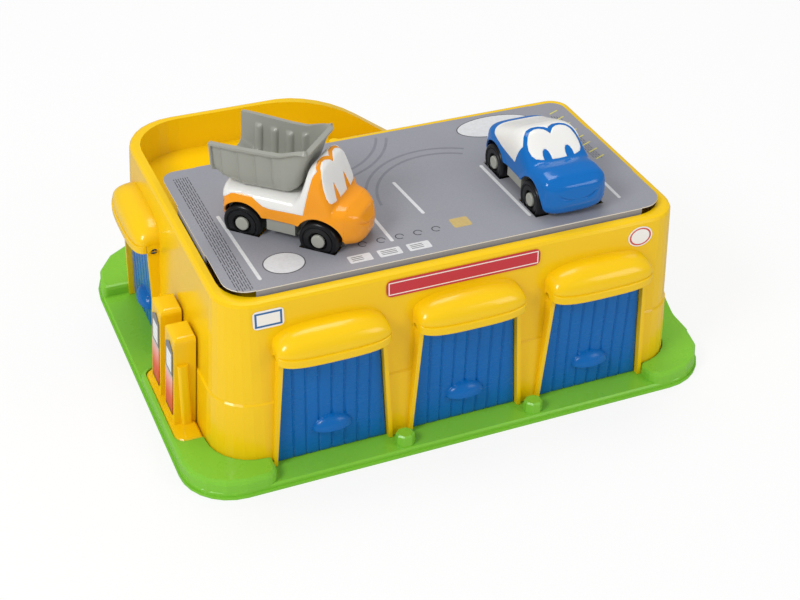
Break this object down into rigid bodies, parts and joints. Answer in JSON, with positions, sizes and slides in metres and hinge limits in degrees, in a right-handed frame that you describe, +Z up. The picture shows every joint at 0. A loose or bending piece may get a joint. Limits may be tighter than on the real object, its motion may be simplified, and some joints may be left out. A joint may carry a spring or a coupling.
{
  "type": "toy garage",
  "caption": "Toy garage with lift-up doors, pump island, roof car park on a folded card, ramp behind, a tipper truck and a small car.",
  "frame": {"origin": "bottom centre of the base tray, on the surface it stands on", "axes": "+X to the right along the front wall, +Y to the back, +Z up"},
  "size_m": [0.421, 0.332, 0.2186],
  "materials": {
    "yellow_shell": "glossy moulded yellow",
    "green_base": "satin moulded lime green",
    "blue_door": "glossy moulded blue",
    "printed_card": "grey printed cardboard, matt",
    "red_label": "printed film label",
    "white_label": "printed film label",
    "orange_plastic": "glossy moulded orange",
    "car_blue": "glossy moulded blue",
    "white_plastic": "glossy moulded white",
    "grey_plastic": "satin moulded grey",
    "hub_grey": "satin moulded grey",
    "black_wheel": "satin moulded black"
  },
  "bodies": {
    "garage": {"base": "green_base", "body_shell": "yellow_shell", "pump_island": "yellow_shell", "front_label": "red_label", "corner_label": "white_label", "oval_label": "white_label", "pump_label_1": "white_label", "pump_label_2": "white_label"},
    "door_1": {"door_1": "blue_door"},
    "door_2": {"door_2": "blue_door"},
    "door_3": {"door_3": "blue_door"},
    "door_left": {"door_left": "blue_door"},
    "card": {"card_insert": "printed_card"},
    "truck": {"truck_body": "orange_plastic", "truck_shell": "white_plastic", "truck_chassis": "grey_plastic"},
    "truck_bed": {"truck_bed": "grey_plastic"},
    "truck_front_wheels": {"truck_front_axle": "hub_grey", "truck_front_left_wheel": "black_wheel", "truck_front_right_wheel": "black_wheel"},
    "truck_rear_wheels": {"truck_rear_axle": "hub_grey", "truck_rear_left_wheel": "black_wheel", "truck_rear_right_wheel": "black_wheel"},
    "car": {"car_body": "car_blue", "car_shell": "white_plastic", "car_chassis": "grey_plastic"},
    "car_front_wheels": {"car_front_axle": "hub_grey", "car_front_left_wheel": "black_wheel", "car_front_right_wheel": "black_wheel"},
    "car_rear_wheels": {"car_rear_axle": "hub_grey", "car_rear_left_wheel": "black_wheel", "car_rear_right_wheel": "black_wheel"}
  },
  "joints": [
    {"name": "door_1_lift", "type": "hinge", "parent": "garage", "child": "door_1", "pos_m": [-0.1014, -0.1435, 0.097], "axis": [-1, 0, 0], "range_deg": [0, 60]},
    {"name": "door_2_lift", "type": "hinge", "parent": "garage", "child": "door_2", "pos_m": [0.0021, -0.1435, 0.097], "axis": [-1, 0, 0], "range_deg": [0, 60]},
    {"name": "door_3_lift", "type": "hinge", "parent": "garage", "child": "door_3", "pos_m": [0.1056, -0.1435, 0.097], "axis": [-1, 0, 0], "range_deg": [0, 60]},
    {"name": "door_left_lift", "type": "hinge", "parent": "garage", "child": "door_left", "pos_m": [-0.1831, 0.054, 0.097], "axis": [0, 1, 0], "range_deg": [0, 60]},
    {"name": "card_lift", "type": "slide", "parent": "garage", "child": "card", "axis": [0, 0, 1], "range_m": [0, 0.04]},
    {"name": "truck_lift", "type": "slide", "parent": "card", "child": "truck", "axis": [0, 0, 1], "range_m": [0, 0.03]},
    {"name": "truck_bed_tip", "type": "hinge", "parent": "truck", "child": "truck_bed", "pos_m": [-0.12315, -0.03151, 0.1778], "axis": [-0.6997, -0.7145, 0], "range_deg": [0, 45]},
    {"name": "truck_front_axle_spin", "type": "hinge", "parent": "truck", "child": "truck_front_wheels", "pos_m": [-0.07528, -0.07839, 0.1521], "axis": [0.6997, 0.7145, 0], "continuous": true},
    {"name": "truck_rear_axle_spin", "type": "hinge", "parent": "truck", "child": "truck_rear_wheels", "pos_m": [-0.11672, -0.03781, 0.1521], "axis": [0.6997, 0.7145, 0], "continuous": true},
    {"name": "car_lift", "type": "slide", "parent": "card", "child": "car", "axis": [0, 0, 1], "range_m": [0, 0.03]},
    {"name": "car_front_axle_spin", "type": "hinge", "parent": "car", "child": "car_front_wheels", "pos_m": [0.09485, -0.0986, 0.1521], "axis": [0.9999, 0.0122, 0], "continuous": true},
    {"name": "car_rear_axle_spin", "type": "hinge", "parent": "car", "child": "car_rear_wheels", "pos_m": [0.09415, -0.0406, 0.1521], "axis": [0.9999, 0.0122, 0], "continuous": true}
  ]
}
